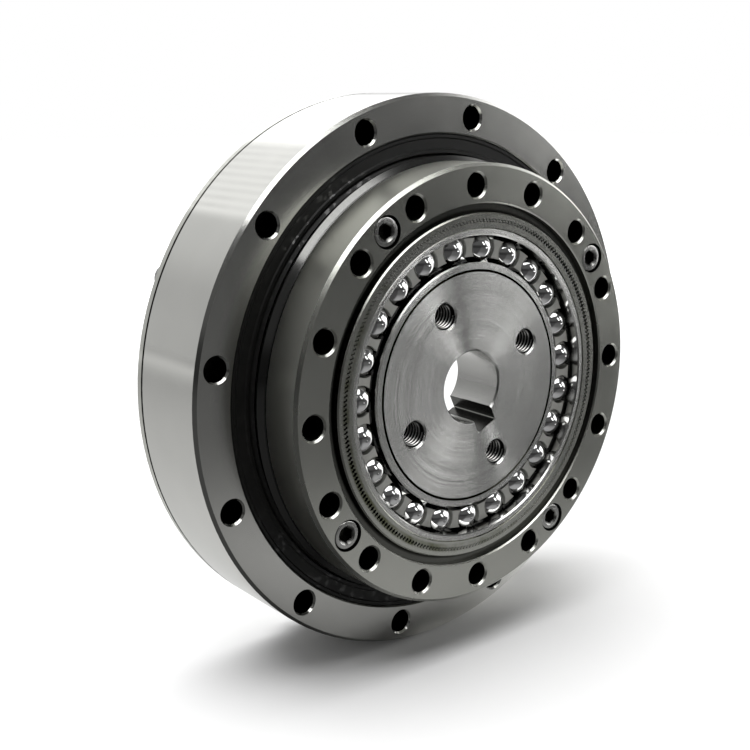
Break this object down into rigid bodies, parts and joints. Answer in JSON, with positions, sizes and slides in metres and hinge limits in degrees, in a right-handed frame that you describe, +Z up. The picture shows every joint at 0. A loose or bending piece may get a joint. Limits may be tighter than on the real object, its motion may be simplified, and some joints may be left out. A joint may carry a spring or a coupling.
{
  "type": "strain wave gearbox",
  "caption": "Flanged strain wave reducer: oval wave generator turning a thin hat-shaped gear inside a ring gear output carried on a sealed cross-roller bearing.",
  "frame": {"origin": "centre of the outer ring's front face, on the axis and on the plane of the flange bolt circle", "axes": "-Y along the axis, out of the output side; +Z up and +X to the right as seen from the output side"},
  "size_m": [0.11, 0.0356, 0.11],
  "materials": {
    "ground_steel": "fine-turned and ground steel",
    "spring_steel": "ground alloy steel with a film of grease at the teeth",
    "bearing_steel": "ground bearing steel",
    "ball_steel": "polished bearing steel",
    "plug_steel": "face-turned steel",
    "screw_steel": "plain steel",
    "seal_rubber": "smooth black rubber",
    "cage_plastic": "moulded grey plastic",
    "spacer_plastic": "moulded natural plastic"
  },
  "bodies": {
    "housing": {"outer_ring": "ground_steel", "roller_plug": "ground_steel", "roller_plug_pin": "bearing_steel", "output_seal": "seal_rubber", "flexspline": "spring_steel", "flange_screws": "screw_steel", "bearing_outer_race": "bearing_steel"},
    "output": {"circular_spline": "ground_steel", "inner_ring": "ground_steel", "spline_screws": "screw_steel"},
    "roller_train": {"rollers_leaning_front": "ball_steel", "rollers_leaning_back": "ball_steel", "roller_spacers": "spacer_plastic"},
    "wave_generator": {"wave_plug": "plug_steel", "bearing_inner_race": "bearing_steel"},
    "ball_train": {"bearing_balls": "ball_steel", "bearing_cage": "cage_plastic"}
  },
  "joints": [
    {"name": "wave_generator_spin", "type": "hinge", "parent": "housing", "child": "wave_generator", "pos_m": [0, 0, 0], "axis": [0, -1, 0], "continuous": true, "deforming": ["flexspline", "bearing_outer_race", "bearing_balls", "bearing_cage"]},
    {"name": "output_spin", "type": "hinge", "parent": "housing", "child": "output", "pos_m": [0, 0, 0], "axis": [0, -1, 0], "continuous": true},
    {"name": "ball_train_spin", "type": "hinge", "parent": "housing", "child": "ball_train", "pos_m": [0, 0, 0], "axis": [0, -1, 0], "continuous": true},
    {"name": "roller_train_spin", "type": "hinge", "parent": "housing", "child": "roller_train", "pos_m": [0, 0, 0], "axis": [0, -1, 0], "continuous": true}
  ],
  "couplings": [
    {"joint": "output_spin", "follows": "wave_generator_spin", "ratio": 0.0082645},
    {"joint": "ball_train_spin", "follows": "wave_generator_spin", "ratio": 0.44043},
    {"joint": "roller_train_spin", "follows": "wave_generator_spin", "ratio": 0.003965}
  ]
}
